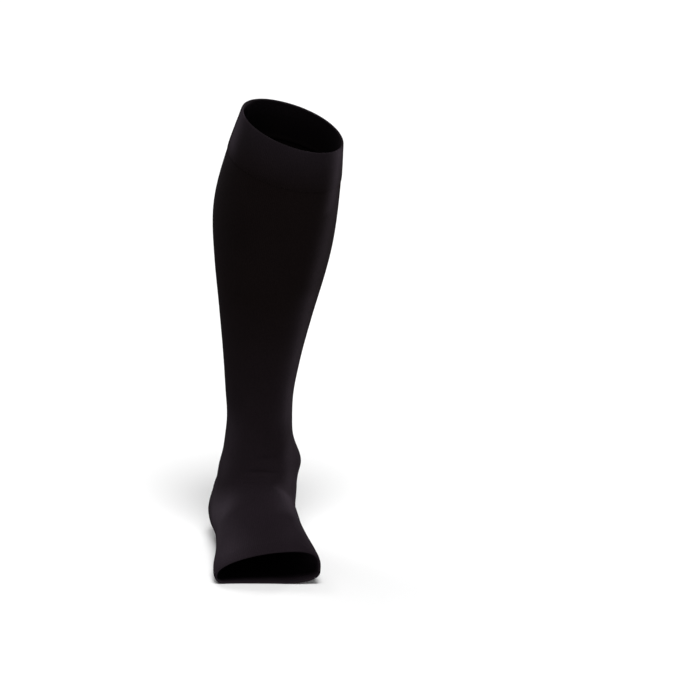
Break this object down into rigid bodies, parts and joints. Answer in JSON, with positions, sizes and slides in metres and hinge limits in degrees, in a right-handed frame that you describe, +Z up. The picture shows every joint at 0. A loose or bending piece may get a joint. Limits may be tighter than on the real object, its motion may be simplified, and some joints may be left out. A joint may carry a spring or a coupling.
{
  "type": "open-toe knee-high compression stocking",
  "caption": "Open-toe, knee-high compression stocking in fine black knit, filled out as when worn on a standing leg, with a double top band, a shaped heel and a toe band.",
  "frame": {"origin": "middle of the top band, where the leg below the knee holds the stocking up", "axes": "+Z up, from the sole to the top edge; -Y towards the toes; +X towards the inner side of the leg"},
  "size_m": [0.1241, 0.1999, 0.4227],
  "materials": {
    "knit": "fine matt knit with a faint sheen",
    "band": "double knit, matt"
  },
  "bodies": {
    "root": {"top_band": "band", "leg": "knit", "heel": "knit", "foot": "knit", "toe_band": "band"}
  },
  "joints": []
}
